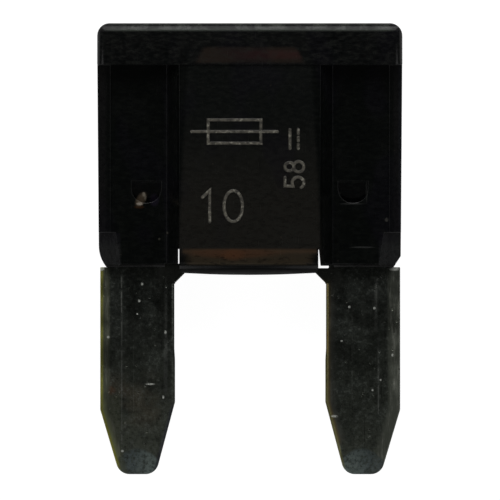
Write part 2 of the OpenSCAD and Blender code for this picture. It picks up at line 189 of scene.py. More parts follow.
def paint(tree, under, colour, mask):
    """A screen colour over what is under it, where the mask is 1."""
    return add_node(tree, "ShaderNodeMix", mask, *UNUSED_MIX_INPUTS, under, tone(*colour),
                    data_type="RGBA").outputs[2]


def level(tree, under, value, mask):
    """The same for a plain number, such as roughness."""
    return add_node(tree, "ShaderNodeMix", mask, None, under, value, data_type="FLOAT").outputs[0]


print("paint helpers ready")

# %% [markdown]
# Each finish starts in the same way: a new material, its shader, and the place on the object
# in millimetres. Object coordinates are used, so a mark stays where it is when the object is
# turned or the camera goes round it. Side is the distance from the middle line, depth is the
# distance from the plane halfway up, and front is 1 on the upper half.

# %% Start of a finish
FRONT_FADE = 0.05


def start_finish(name):
    """A material, its tree and shader, and the place on the object in millimetres."""
    material = bpy.data.materials.new(name)
    material.use_nodes = True
    tree = material.node_tree
    shader = tree.nodes["Principled BSDF"]
    metres = add_node(tree, "ShaderNodeTexCoord").outputs["Object"]
    point = add_node(tree, "ShaderNodeVectorMath", metres, (1 / MM,) * 3, operation="MULTIPLY").outputs[0]
    x, y, z = add_node(tree, "ShaderNodeSeparateXYZ", point).outputs
    place = {"point": point, "x": x, "y": y, "z": z}
    place["side"] = maths(tree, "ABSOLUTE", x)
    place["depth"] = maths(tree, "ABSOLUTE", maths(tree, "SUBTRACT", z, MIDDLE_HEIGHT))
    place["front"] = rise(tree, z, MIDDLE_HEIGHT - FRONT_FADE, MIDDLE_HEIGHT + FRONT_FADE)
    return material, tree, shader, place


def plug_finish(tree, shader, colour, gloss, skin):
    """Plug the colour, the roughness and the bumps into the shader."""
    for name, plug in (("Base Color", colour), ("Roughness", gloss), ("Normal", skin)):
        tree.links.new(plug, shader.inputs[name])


print("a finish has its places and its shader")

# %% [markdown]
# Chance comes from two textures. Noise gives clouds, grain or streaks, depending on its scale
# and on how it is stretched, and Voronoi cells give scattered spots. Bumps turn the same
# textures into a surface that isn't quite even.

# %% Noise, specks and bumps
def scaled_point(tree, place, scale, stretch):
    """The place, with so many texture units for each millimetre."""
    return add_node(tree, "ShaderNodeVectorMath", place["point"], tuple(scale * s for s in stretch),
                    operation="MULTIPLY").outputs[0]


def noise(tree, place, scale, detail=3.0, stretch=(1, 1, 1), rough=0.5):
    """Cloudy noise of 0 to 1. The scale is in clouds for each millimetre."""
    node = add_node(tree, "ShaderNodeTexNoise", scaled_point(tree, place, scale, stretch))
    node.inputs["Scale"].default_value = 1.0
    node.inputs["Detail"].default_value = detail
    node.inputs["Roughness"].default_value = rough
    return node.outputs[0]


def specks(tree, place, scale, size):
    """Scattered spots: 1 in the middle of each spot, 0 between them."""
    node = add_node(tree, "ShaderNodeTexVoronoi", scaled_point(tree, place, scale, (1, 1, 1)))
    node.inputs["Scale"].default_value = 1.0
    return rise(tree, node.outputs["Distance"], size, size * 0.4)


def bumps(tree, height, depth, under=None, strength=1.0):
    """A bump of this depth in millimetres, on top of another bump if one is given."""
    node = add_node(tree, "ShaderNodeBump")
    node.inputs["Strength"].default_value = strength
    node.inputs["Distance"].default_value = depth * MM
    tree.links.new(height, node.inputs["Height"])
    if under is not None:
        tree.links.new(under, node.inputs["Normal"])
    return node.outputs[0]


print("texture helpers ready")

# %% [markdown]
# ## The floor
#
# The object lies on plain white paper. A paper that is only lit would be grey near the
# object and white further off, so most of its white comes from Light Path: it glows for the
# camera, and less strongly in mirror-like reflections, where the object itself shades it. The
# rest is ordinary paint that takes a shadow.

# %% Floor
PAPER_GLOW = 0.967
MIRRORED_SHARE = 0.3
PAPER_GREY = 0.2
PAPER_REACH = 1.0
PAPER_DROP = 0.01 * MM
corners = [(-PAPER_REACH, -PAPER_REACH, 0), (PAPER_REACH, -PAPER_REACH, 0),
           (PAPER_REACH, PAPER_REACH, 0), (-PAPER_REACH, PAPER_REACH, 0)]
floor_mesh = bpy.data.meshes.new("paper")
floor_mesh.from_pydata(corners, [], [(0, 1, 2, 3)])
floor = bpy.data.objects.new("paper", floor_mesh)
floor.location.z = -PAPER_DROP
scene.collection.objects.link(floor)

paper = bpy.data.materials.new("white_paper")
paper.use_nodes = True
tree = paper.node_tree
tree.nodes.clear()
rays = add_node(tree, "ShaderNodeLightPath").outputs
seen = maths(tree, "MAXIMUM", rays["Is Camera Ray"], times(tree, rays["Is Glossy Ray"], MIRRORED_SHARE))
seen = maths(tree, "MAXIMUM", seen, rays["Is Transmission Ray"])
glow = add_node(tree, "ShaderNodeEmission", (1, 1, 1, 1), times(tree, seen, PAPER_GLOW))
painted = add_node(tree, "ShaderNodeBsdfDiffuse", (PAPER_GREY, PAPER_GREY, PAPER_GREY, 1))
both = add_node(tree, "ShaderNodeAddShader", glow.outputs[0], painted.outputs[0])
add_node(tree, "ShaderNodeOutputMaterial", both.outputs[0])
floor_mesh.materials.append(paper)
print("paper laid under the object")

# %% [markdown]
# ## Light
#
# Dark gloss shows what stands round it, not its own colour. The flat faces and the outward
# bevels should be nearly black, while the round along the head is lit. So the world is a dark
# tent with a paler foot, and a wide lamp stands on the head side, where that round mirrors
# it and the flat faces don't. Four weaker lamps stand on the diagonals. No large face leans that way, so they
# light the colours evenly and show up in no reflection. A small faint one on the foot side
# stands where the slopes on the blade tips mirror it, so that they stand out a little.

# %% World
# Each step is a height in the tent, from 0 at the horizon to 1 overhead, and its brightness.
TENT = ((0.0, 0.16), (0.08, 0.13), (0.16, 0.06), (0.5, 0.05), (0.93, 0.06), (1.0, 0.03))
world = bpy.data.worlds.new("light_tent")
scene.world = world
world.use_nodes = True
tree = world.node_tree
direction = add_node(tree, "ShaderNodeTexCoord").outputs["Generated"]
up = add_node(tree, "ShaderNodeSeparateXYZ", direction).outputs[2]
ramp = add_node(tree, "ShaderNodeValToRGB", up)
while len(ramp.color_ramp.elements) < len(TENT):
    ramp.color_ramp.elements.new(0.5)
for element, (position, brightness) in zip(ramp.color_ramp.elements, TENT):
    element.position = position
    element.color = (brightness, brightness, brightness, 1)
tree.links.new(ramp.outputs[0], tree.nodes["Background"].inputs[0])
print("tent of", len(TENT), "steps")

# %% Lamps
# Turn from the head side to the left and lean from overhead in degrees, width in metres,
# brightness.
LAMPS = (
    ("head_side", 0.0, 54.0, 0.32, 3.1),
    ("foot_side", 180.0, 22.0, 0.10, 0.2),
    ("head_left", 45.0, 55.0, 0.30, 0.9),
    ("head_right", -45.0, 55.0, 0.30, 0.8),
    ("foot_left", 135.0, 55.0, 0.30, 0.8),
    ("foot_right", -135.0, 55.0, 0.30, 0.8),
)
LAMP_DISTANCE = 0.4
for name, turn, lean, width, brightness in LAMPS:
    lamp_data = bpy.data.lights.new(name, "AREA")
    lamp_data.shape = "SQUARE"
    lamp_data.size = width
    lamp_data.energy = brightness * math.pi * width * width
    lamp = bpy.data.objects.new(name, lamp_data)
    a, e = math.radians(turn), math.radians(lean)
    away = Vector((-math.sin(a) * math.sin(e), math.cos(a) * math.sin(e), math.cos(e)))
    lamp.location = away * LAMP_DISTANCE
    lamp.rotation_mode = "QUATERNION"
    lamp.rotation_quaternion = away.to_track_quat("Z", "Y")
    scene.collection.objects.link(lamp)
    print(name, "lamp of", round(lamp_data.energy, 3), "watt")

# %% [markdown]
# ## Edges
#
# No moulded or stamped edge is a mathematical corner, and it is the small rounds that catch
# the light. The solids keep their own points. Modifiers weld the triangles into whole faces
# and then round each sharp edge a little, and weighted normals keep the big faces flat. Area
# alone doesn't do that on an object of a few millimetres, whose areas are all nearly zero in
# square metres, so the weight is area times angle, and the threshold goes to zero.

# %% Round the edges
WELD_DISTANCE = 0.0005 * MM
SAME_FACE_ANGLE = 0.5
ROUND_STEPS = 2
FLAT_FACE_WEIGHT = 60
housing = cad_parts["housing"]
fuse_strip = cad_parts["fuse_element"]


def soften_edges(solid, width, from_angle):
    """Whole faces, a small round on each sharp edge, and flat shading on big faces."""
    weld = solid.modifiers.new("one_skin", "WELD")
    weld.merge_threshold = WELD_DISTANCE
    whole = solid.modifiers.new("whole_faces", "DECIMATE")
    whole.decimate_type = "DISSOLVE"
    whole.angle_limit = math.radians(SAME_FACE_ANGLE)
    edge = solid.modifiers.new("edge_round", "BEVEL")
    edge.width = width * MM
    edge.segments = ROUND_STEPS
    edge.limit_method = "ANGLE"
    edge.angle_limit = math.radians(from_angle)
    edge.use_clamp_overlap = False
    edge.miter_outer = "MITER_ARC"
    flat = solid.modifiers.new("flat_faces", "WEIGHTED_NORMAL")
    flat.mode = "FACE_AREA_WITH_ANGLE"
    flat.weight = FLAT_FACE_WEIGHT
    flat.thresh = 0.0
    for polygon in solid.data.polygons:
        polygon.use_smooth = True
    shown = solid.evaluated_get(bpy.context.evaluated_depsgraph_get())
    print(solid.name, len(solid.data.polygons), "faces from CAD,", len(shown.data.polygons),
          "with rounded edges")


soften_edges(housing, width=0.015, from_angle=18)
soften_edges(fuse_strip, width=0.03, from_angle=24)

# %% [markdown]
# ## The smoked plastic
#
# The housing is moulded in a plastic that is nearly black but lets a little light through
# where it is thin: the lip glows brown and a dull red patch shows where the chamber reaches
# up into the head. One colour can't show that, so the base colour is painted in regions, and
# clouds, grain and hairline scratches break up the colour, the gloss and the surface.
#
# Pairs of places in millimetres say where. In a call of rise, the mask starts at the first
# and is full at the second. In a strip or a patch, the two are its ends.

# %% Smoked plastic: regions
RAISED_DEPTH = (1.6, 1.7)
HEAD_FOOT = (6.63, 6.67)
PANEL_EDGE = (2.68, 2.48)
PANEL_NARROWING = 0.05
PANEL_MIDDLE = (5.4, 1.2)
OUTER_BAND = (5.16, 5.26)
RIGHT_RIM = (5.34, 5.4)
smoke, tree, shader, place = start_finish("smoked_plastic")
raised = rise(tree, place["depth"], *RAISED_DEPTH)
on_head = rise(tree, place["y"], *HEAD_FOOT)
below_head = outside(tree, on_head)
narrowing = maths(tree, "ADD", place["side"], times(tree, place["y"], PANEL_NARROWING))
on_panel = times(tree, raised, rise(tree, narrowing, *PANEL_EDGE))
panel_middle = times(tree, on_panel, rise(tree, place["y"], *PANEL_MIDDLE))
outer_band = times(tree, rise(tree, place["side"], *OUTER_BAND), below_head)
right_rim = times(tree, rise(tree, place["x"], *RIGHT_RIM), below_head)

# Painted shade: the recessed side portions keep the darkest tone, and the raised panel is lighter.
colour = paint(tree, tone(5, 7, 6), (11, 13, 12), on_panel)
colour = paint(tree, colour, (25, 24, 21), panel_middle)
# Painted sheen on the rounded outer edges below the head, paler and bluer on the right.
colour = paint(tree, colour, (14, 14, 14), outer_band)
colour = paint(tree, colour, (21, 22, 25), right_rim)
colour = paint(tree, colour, (11, 12, 12), on_head)
print("plastic regions:", len(tree.nodes), "nodes so far")

# %% [markdown]
# The window in the head is the end of the chamber, seen through the plastic. It narrows
# upwards, as the core of the mould does, and light comes through it dull red.

# %% Smoked plastic: the window in the head
WINDOW_Y = (6.72, 7.28)
WINDOW_TAPER_Y = (6.7, 7.3)
WINDOW_HALF_WIDTH = (1.92, 1.6)
WINDOW_BORDER = (-0.16, 0.1)
REDDER_X = (-1.2, 0.4)
REDDER_Y = (6.86, 7.16)
window_half = add_node(tree, "ShaderNodeMapRange", place["y"], *WINDOW_TAPER_Y, *WINDOW_HALF_WIDTH)
inside = maths(tree, "SUBTRACT", window_half.outputs[0], place["side"])
window = times(tree, rise(tree, inside, *WINDOW_BORDER), strip(tree, place["y"], *WINDOW_Y, soft=0.07),
               raised)
redder = times(tree, window, rise(tree, place["x"], *REDDER_X),
               strip(tree, place["y"], *REDDER_Y, soft=0.08))
colour = paint(tree, colour, (34, 28, 24), window)
colour = paint(tree, colour, (44, 28, 26), redder)
print("window painted:", len(tree.nodes), "nodes so far")

# %% [markdown]
# The bevel of the lip is thinnest along its upper edge. The glow is strongest in a line
# there, warmer left of the middle, and it dies out below the bevel, where the wall is thick
# again and nothing comes through.

# %% Smoked plastic: the glow of the lip
LIP_GLOW_Y = (-0.56, -0.02)
LIP_GLOW_SIDE = (2.45, 2.0)
GLOW_LINE_Y = (-0.15, -0.02)
GLOW_LINE_SIDE = (2.48, 2.36)
LIP_FOOT_Y = (-0.56, -0.68)
LIP_SIDE = (2.55, 2.45)
lip_glow = times(tree, strip(tree, place["y"], *LIP_GLOW_Y, soft=0.07),
                 rise(tree, place["side"], *LIP_GLOW_SIDE))
uneven = level(tree, 0.55, 1.0, noise(tree, place, scale=2.5, detail=2.0))
glow_line = times(tree, strip(tree, place["y"], *GLOW_LINE_Y, soft=0.08),
                  rise(tree, place["side"], *GLOW_LINE_SIDE), uneven)
warm = blob(tree, place, x=-0.6, y=-0.15, half_width=2.1, half_height=0.24)
ember = blob(tree, place, x=-0.6, y=-0.2, half_width=0.55, half_height=0.27)
lip_foot = times(tree, rise(tree, place["y"], *LIP_FOOT_Y), rise(tree, place["side"], *LIP_SIDE))

colour = paint(tree, colour, (57, 49, 37), lip_glow)
colour = paint(tree, colour, (78, 61, 45), glow_line)
colour = paint(tree, colour, (80, 55, 38), times(tree, warm, lip_glow, 0.9))
colour = paint(tree, colour, (92, 58, 36), times(tree, ember, lip_glow, 0.6))
# Painted shade on the lip foot, below the glow.
colour = paint(tree, colour, (2, 3, 3), lip_foot)
print("glow painted:", len(tree.nodes), "nodes so far")

# %% [markdown]
# The lead-in facets carry a painted sheen, paler towards their foot, and the lower edge a painted highlight.
# A painted highlight also runs along the crease between the side portion and the flank of the panel, brighter
# on the left. The floors of the two punched hollows, where plastic was pushed into the strip, are painted in
# shade.

# %% Smoked plastic: facets, creases and hollows
FACET_SIDE = (4.62, 4.74)
FACET_TOP = (0.6, 0.55)
FACET_FADE = (0.45, 0.05)
FACET_DEPTH = (0.2, 0.5)
FOOT_EDGE_Y = (-0.66, -0.56)
FOOT_EDGE_SIDE = (2.9, 3.0)
CREASE_SIDE = (2.94, 3.06)
LEFT_CREASE_X = (-3.09, -2.93)
HOLLOW_X = (-4.6, 4.6)
HOLLOW_Y = (1.2, 2.62)
HOLLOW_SIDE = (2.8, 2.9)
HOLLOW_DEPTH = (1.075, 1.06)
facet = times(tree, rise(tree, place["side"], *FACET_SIDE), rise(tree, place["y"], *FACET_TOP),
              rise(tree, place["depth"], *FACET_DEPTH))
pale_facet = times(tree, facet, rise(tree, place["y"], *FACET_FADE))
foot_edge = times(tree, strip(tree, place["y"], *FOOT_EDGE_Y, soft=0.02),
                  rise(tree, place["side"], *FOOT_EDGE_SIDE))
crease = strip(tree, place["side"], *CREASE_SIDE, soft=0.03)
left_crease = times(tree, strip(tree, place["x"], *LEFT_CREASE_X, soft=0.05), below_head)
hollow_floor = times(tree, patch(tree, place, HOLLOW_X, HOLLOW_Y, soft=0.02),
                     rise(tree, place["side"], *HOLLOW_SIDE), rise(tree, place["depth"], *HOLLOW_DEPTH))

# Painted sheen on the lead-in facets, paler towards their foot.
colour = paint(tree, colour, (13, 13, 16), facet)
colour = paint(tree, colour, (26, 27, 27), pale_facet)
# Painted highlight along the lower edge.
colour = paint(tree, colour, (15, 15, 14), foot_edge)
# Painted highlight along the crease where each flank meets the side portion, brighter on the left.
colour = paint(tree, colour, (8, 10, 10), crease)
colour = paint(tree, colour, (14, 15, 16), left_crease)
# Painted shade on the floors of the punched hollows.
colour = paint(tree, colour, (2, 3, 3), hollow_floor)
print("facets and creases:", len(tree.nodes), "nodes so far")

# %% [markdown]
# Plastic that has been handled is never even. Large clouds change its tone, a fine mottle
# shows as salt and pepper, most of all on the head, and a little dust has settled.

# %% Smoked plastic: clouds, mottle and dust
clouds = noise(tree, place, scale=0.7, detail=4.0)
grain = noise(tree, place, scale=14.0, detail=2.0)
hairlines = noise(tree, place, scale=3.0, detail=2.0, stretch=(9, 0.5, 1), rough=0.7)
shade = noise(tree, place, scale=0.45, detail=1.0, stretch=(1.6, 0.8, 1))
mottle = noise(tree, place, scale=6.5, detail=3.0, stretch=(0.6, 1.3, 1.3), rough=0.6)
salt_share = level(tree, level(tree, 0.25, 0.4, on_panel), 0.9, on_head)
pepper_share = level(tree, level(tree, 0.65, 0.3, on_panel), 0.2, window)
lighter = times(tree, rise(tree, clouds, 0.35, 0.75), 0.08)
bluish = times(tree, rise(tree, shade, 0.5, 0.62), rise(tree, place["y"], -0.2, 0.6), 0.3)
salt = times(tree, rise(tree, mottle, 0.44, 0.7), 0.5, salt_share)
pepper = times(tree, rise(tree, mottle, 0.52, 0.3), pepper_share)
dust = times(tree, specks(tree, place, scale=2.3, size=0.09), rise(tree, clouds, 0.5, 0.62), 0.6)

colour = paint(tree, colour, (17, 15, 15), lighter)
colour = paint(tree, colour, (13, 10, 19), bluish)
colour = paint(tree, colour, (33, 34, 31), salt)
colour = paint(tree, colour, (2, 3, 3), pepper)
colour = paint(tree, colour, (44, 40, 34), dust)
print("plastic mottled:", len(tree.nodes), "nodes so far")

# %% [markdown]
# Single marks are placed one by one, each a soft oval: a painted glint in the left hollow, pale with a dark
# orange patch below it and a purplish one beside it, specks below it, a faint scuff near the right edge, and
# painted highlights along the rim of the right hollow and along an edge below it.

# %% Smoked plastic: painted glints, specks and scuffs
# x, y, half width, half height, turn in degrees, tone. The first ones lie on top.
SPECKS_AND_GLINTS = (
    (-3.83, 1.97, 0.072, 0.101, 0, (124, 116, 104)),
    (-3.78, 1.86, 0.047, 0.145, 0, (104, 98, 86)),
    (-3.98, 1.63, 0.145, 0.072, 0, (128, 120, 110)),
    (-3.93, 1.79, 0.344, 0.195, 58, (78, 68, 56)),
    (-4.00, 1.52, 0.232, 0.080, 0, (36, 21, 9)),
    (-3.45, 1.77, 0.217, 0.290, 0, (22, 19, 28)),
    (-2.98, 0.58, 0.043, 0.058, 0, (60, 58, 52)),
    (-3.27, 0.36, 0.043, 0.058, 0, (48, 47, 42)),
    (4.94, 1.05, 0.080, 0.094, 0, (48, 47, 44)),
    (3.68, 1.63, 0.543, 0.047, 0, (32, 33, 32)),
    (4.22, 2.06, 0.047, 0.471, 0, (30, 31, 30)),
    (4.08, 0.06, 0.543, 0.043, 0, (38, 39, 38)),
)
for x, y, half_width, half_height, turn, speck_or_glint_tone in reversed(SPECKS_AND_GLINTS):
    speck_or_glint = blob(tree, place, x, y, half_width, half_height, turn)
    colour = paint(tree, colour, speck_or_glint_tone, times(tree, speck_or_glint, place["front"]))
print("glints and scuffs:", len(SPECKS_AND_GLINTS))

# %% [markdown]
# The long round of the head edge is the one bright line on the plastic. It isn't a clean line: it breaks up
# into beads. Part of that is a painted highlight in a paler colour, beaded along the round and carried a
# little below it, and part is gloss that changes along the edge.

# %% Smoked plastic: the head edge
CREST_Y = (7.82, 7.9)
CREST_DEPTH = (1.35, 1.78)
CREST_END_X = (5.1, 4.9)
CREST_FOOT_Y = (7.865, 7.96)
CREST_FOOT_SIDE = (5.3, 5.1)
OUTERMOST_Y = (8.03, 8.06)
OUTERMOST_DEPTH = (1.45, 1.55)
crest = rise(tree, place["y"], *CREST_Y)
beads = noise(tree, place, scale=2.8, detail=3.0, stretch=(1, 0.6, 0.6), rough=0.7)
beaded = times(tree, crest, strip(tree, place["depth"], *CREST_DEPTH, soft=0.06),
               rise(tree, beads, 0.46, 0.66), rise(tree, place["x"], *CREST_END_X), 0.6)
crest_foot = times(tree, strip(tree, place["y"], *CREST_FOOT_Y, soft=0.04), raised,
                   level(tree, 0.6, 1.0, rise(tree, beads, 0.4, 0.6)),
                   rise(tree, place["side"], *CREST_FOOT_SIDE))
outermost = times(tree, rise(tree, place["y"], *OUTERMOST_Y), rise(tree, place["depth"], *OUTERMOST_DEPTH))
# Painted highlight: paler beads along the round, and a band just below it.
colour = paint(tree, colour, (64, 67, 61), beaded)
colour = paint(tree, colour, (54, 58, 53), crest_foot)
print("head edge painted:", len(tree.nodes), "nodes so far")

# %% [markdown]
# Roughness is painted like colour. The narrow rounds along the flanks and bevels stay very
# smooth, because a rough one would spread the light of a lamp into a pale line.

# %% Smoked plastic: gloss and surface
LIP_LOWEST_Y = (-0.72, -0.82)
LIP_LOWEST_SIDE = (2.6, 2.5)
FLANK_TOP_SIDE = (2.5, 2.62)
FLANK_FOOT_SIDE = (2.94, 3.1)
BEVEL_SIDE = (4.98, 5.14)
lowest = times(tree, rise(tree, place["y"], *LIP_LOWEST_Y), rise(tree, place["side"], *LIP_LOWEST_SIDE))
flank_top, flank_foot, bevel = [strip(tree, place["side"], *span, soft=0.02)
                                for span in (FLANK_TOP_SIDE, FLANK_FOOT_SIDE, BEVEL_SIDE)]
lines = maths(tree, "MAXIMUM", flank_top, maths(tree, "MAXIMUM", flank_foot, bevel))
lines = times(tree, lines, rise(tree, on_head, 0.5, 0.0))

gloss = level(tree, 0.16, 0.2, on_panel)
gloss = level(tree, gloss, 0.3, lip_foot)
gloss = level(tree, gloss, 0.65, lowest)
gloss = level(tree, gloss, 0.26, rise(tree, clouds, 0.4, 0.8))
gloss = level(tree, gloss, 0.4, times(tree, rise(tree, hairlines, 0.62, 0.75), 0.5))
gloss = level(tree, gloss, level(tree, 0.22, 0.5, rise(tree, beads, 0.6, 0.4)), crest)
gloss = level(tree, gloss, 0.08, outermost)
gloss = level(tree, gloss, 0.07, lines)
gloss = level(tree, gloss, 0.12, hollow_floor)

skin = bumps(tree, clouds, depth=0.012)
skin = bumps(tree, grain, depth=0.0016, under=skin)
skin = bumps(tree, mottle, depth=0.006, under=skin, strength=0.6)
skin = bumps(tree, hairlines, depth=0.0015, under=skin)
plug_finish(tree, shader, colour, gloss, skin)
shader.inputs["Specular IOR Level"].default_value = 0.3
print("smoked plastic:", len(tree.nodes), "nodes")

# %% [markdown]
# ## The plated strip
#
# The strip is stamped from a zinc alloy and plated with tin. The plating has gone dull and dark. Towards the
# tips it is painted brighter and greenish, as painted light. Streaks run along the blades because that is how
# they slide home.
#
# Both blades taper, more steeply on the outside than on the inside. Two distances follow those edges, so that
# wear and painted highlights can be laid along them: the outer reach grows towards the outer edge, and the
# inner reach shrinks towards the inner one. Both are counted from a line a trace to the right of the middle
# of the strip, and the wear and highlights were matched from there.

# %% Plated strip: places
WEAR_AND_HIGHLIGHT_MIDDLE = 0.04
OUTER_TAPER_TOP = -5.81
OUTER_TAPER = 0.298
INNER_TAPER_TOP = -5.54
INNER_TAPER = 0.266
plating, tree, shader, place = start_finish("plated_strip")


def taper_from(top, slope):
    """How far a tapered edge has come in at this height."""
    below = maths(tree, "SUBTRACT", top, place["y"])
    return maths(tree, "MAXIMUM", times(tree, below, slope), 0.0)


off_centre = maths(tree, "ABSOLUTE", maths(tree, "SUBTRACT", place["x"], WEAR_AND_HIGHLIGHT_MIDDLE))
outer_reach = maths(tree, "ADD", taper_from(OUTER_TAPER_TOP, OUTER_TAPER), off_centre)
inner_reach = maths(tree, "SUBTRACT", off_centre, taper_from(INNER_TAPER_TOP, INNER_TAPER))
on_left = rise(tree, place["x"], 0.0, -1.0)
on_right = rise(tree, place["x"], 0.0, 1.0)
print("wear is counted from the line x =", WEAR_AND_HIGHLIGHT_MIDDLE, "mm")

# %% Plated strip: the dull plating
TOWARDS_TIP_Y = (-1.6, -8.0)
RIGHT_DARK_Y = (-7.1, -3.2)
TARNISH_Y = (-6.3, -4.7)
TARNISH_X = (-3.0, -3.6)
BARE_X = (-5.1, -4.68)
BARE_Y = (-6.9, -5.3)
streaks = noise(tree, place, scale=1.0, detail=4.0, stretch=(11, 0.45, 3), rough=0.65)
clouds = noise(tree, place, scale=0.9, detail=5.0)
grain = noise(tree, place, scale=16.0, detail=3.0)
patches = noise(tree, place, scale=2.3, detail=3.0, rough=0.6)
towards_tip = rise(tree, place["y"], *TOWARDS_TIP_Y)
right_dark = times(tree, on_right, strip(tree, place["y"], *RIGHT_DARK_Y, soft=0.6), 0.6)
tarnish = times(tree, strip(tree, place["y"], *TARNISH_Y, soft=0.5), rise(tree, place["x"], *TARNISH_X),
                rise(tree, clouds, 0.35, 0.6), 0.22)
rust = times(tree, blob(tree, place, x=-5.12, y=-5.13, half_width=0.34, half_height=0.22), 0.6)
bare = times(tree, patch(tree, place, BARE_X, BARE_Y, soft=0.16), 0.6)

# Painted light: the plating grows brighter and greenish towards the tips.
colour = paint(tree, tone(64, 68, 64), (96, 101, 90), towards_tip)
colour = paint(tree, colour, (60, 64, 60), times(tree, rise(tree, patches, 0.46, 0.62), 0.55))
# Painted shade: the right blade is darker over most of its length.
colour = paint(tree, colour, (58, 63, 58), right_dark)
colour = paint(tree, colour, (86, 87, 78), times(tree, streaks, 0.3))
colour = paint(tree, colour, (39, 42, 41), times(tree, rise(tree, clouds, 0.45, 0.8), 0.6))
colour = paint(tree, colour, (112, 92, 70), tarnish)
colour = paint(tree, colour, (124, 92, 70), rust)
colour = paint(tree, colour, (106, 110, 92), bare)
print("plating:", len(tree.nodes), "nodes so far")

# %% [markdown]
# The springs of a socket polish a few narrow bands along each blade. The coined slope at the tips meets the
# socket first. It carries a painted bluish sheen broken up by scuffs, with a painted highlight on the inner
# side, and its upper border is an arch that is highest in the middle of the blade.

# %% Plated strip: bands and tips
# Middle of the band, half width, lower end, upper end, share.
BANDS = (
    (-4.63, 0.035, -2.7, -0.9, 0.7),
    (-3.04, 0.07, -5.2, -1.2, 0.7),
    (4.56, 0.065, -3.0, -1.0, 0.75),
    (4.65, 0.035, -5.7, -3.2, 0.5),
    (-4.63, 0.03, -7.0, -2.7, 0.35),
)
BLADE_MIDDLE = 4.07
SLOPE_TOP_Y = (-7.02, -7.14)
SLOPE_ARCH = 0.7
SHINE_ACROSS = (4.45, 3.4)
STOP_SIDE = (2.2, 3.3)
STOP_Y = (-1.25, -0.6)
for middle_x, half_width, low, high, share in BANDS:
    band = patch(tree, place, (middle_x - half_width, middle_x + half_width), (low, high), soft=0.03)
    colour = paint(tree, colour, (100, 103, 98), times(tree, band, share))
mottle = noise(tree, place, scale=7.5, detail=3.0, rough=0.75)
off_middle = maths(tree, "SUBTRACT", place["side"], BLADE_MIDDLE)
ragged = maths(tree, "ADD", place["y"], times(tree, mottle, 0.3))
arched = maths(tree, "ADD", ragged, times(tree, off_middle, off_middle, SLOPE_ARCH))
on_slope = rise(tree, arched, *SLOPE_TOP_Y)
tip_sheen_and_scuffs = times(tree, on_slope, level(tree, 0.35, 0.9, rise(tree, mottle, 0.4, 0.6)))
shine = times(tree, tip_sheen_and_scuffs, rise(tree, off_centre, *SHINE_ACROSS))
stops = times(tree, strip(tree, place["side"], *STOP_SIDE, soft=0.15),
              strip(tree, place["y"], *STOP_Y, soft=0.15), 0.6)

# Painted sheen on the tip slopes, broken up by scuffs, and a painted highlight on their inner side.
colour = paint(tree, colour, (96, 108, 110), tip_sheen_and_scuffs)
colour = paint(tree, colour, (138, 152, 146), shine)
colour = paint(tree, colour, (136, 142, 135), times(tree, rise(tree, mottle, 0.5, 0.68), 0.3))
colour = paint(tree, colour, (24, 25, 24), times(tree, rise(tree, mottle, 0.48, 0.32), 0.5))
# Painted light: the strip is paler near the stops, just below the lip.
colour = paint(tree, colour, (92, 94, 88), stops)
print("bands:", len(BANDS), "and", len(tree.nodes), "nodes so far")

# %% [markdown]
# The outer edges were rolled over when the strip was stamped. They carry the brightest painted highlights,
# broken by rubbed streaks. Along the rims the painted highlights have a yellow fringe, orange in places on
# the inner rim of the right blade, and the inner rim of the left one is painted in a grey shade near its tip.

# %% Plated strip: edges
ROLLED_REACH = (5.07, 5.2)
RIGHT_ROLLED_REACH = (4.88, 5.08)
SHOULDER_Y = (-0.9, -1.3)
YELLOW_FRINGE_REACH = (5.06, 5.16)
TAPERED_REACH = (5.14, 5.34)
TAPERED_Y = (-5.2, -5.7)
RIM_REACH = (5.3, 5.4)
UPPER_HALF_Z = (2.0, 2.1)
INNER_FADE = (3.14, 2.78)
INNER_FADE_Y = (-7.0, -1.2)
INNER_BROWN = (2.93, 2.82)
INNER_RIM = (2.82, 2.76)
INNER_RIM_TOP_Y = (-1.2, -1.4)
ORANGE_Y = (-6.0, -4.5)
DULL_RIM = (2.92, 2.8)
DULL_RIM_Y = (-5.4, -5.8)
rubbed = noise(tree, place, scale=1.6, detail=4.0, stretch=(9, 0.8, 1), rough=0.7)
on_top = rise(tree, place["z"], *UPPER_HALF_Z)
above_slope = level(tree, 1.0, 0.15, on_slope)
rolled = maths(tree, "MAXIMUM", rise(tree, outer_reach, *ROLLED_REACH),
               times(tree, on_right, rise(tree, outer_reach, *RIGHT_ROLLED_REACH)))
rolled = times(tree, rolled, level(tree, 0.55, 1.0, rise(tree, place["y"], *SHOULDER_Y)), above_slope)
yellow_fringe = times(tree, on_left, rise(tree, outer_reach, *YELLOW_FRINGE_REACH), 0.3)
tapered = times(tree, on_left, rise(tree, outer_reach, *TAPERED_REACH), rise(tree, place["y"], *TAPERED_Y),
                above_slope, 0.9)
rim = times(tree, on_left, rise(tree, outer_reach, *RIM_REACH), on_top)
inner_fade = times(tree, on_right, rise(tree, inner_reach, *INNER_FADE),
                   strip(tree, place["y"], *INNER_FADE_Y, soft=0.2))
inner_brown = times(tree, inner_fade, rise(tree, inner_reach, *INNER_BROWN))
inner_rim = times(tree, on_right, rise(tree, inner_reach, *INNER_RIM),
                  rise(tree, place["y"], *INNER_RIM_TOP_Y), on_top)
orange = times(tree, inner_rim, rise(tree, patches, 0.45, 0.6), rise(tree, place["y"], *ORANGE_Y), 0.7)
dull_rim = times(tree, on_left, rise(tree, inner_reach, *DULL_RIM), rise(tree, place["y"], *DULL_RIM_Y), 0.85)

# Painted highlight along the rolled outer edges, with rubbed streaks in it.
colour = paint(tree, colour, (104, 108, 98), rolled)
colour = paint(tree, colour, (146, 148, 138), times(tree, rolled, rise(tree, rubbed, 0.48, 0.68)))
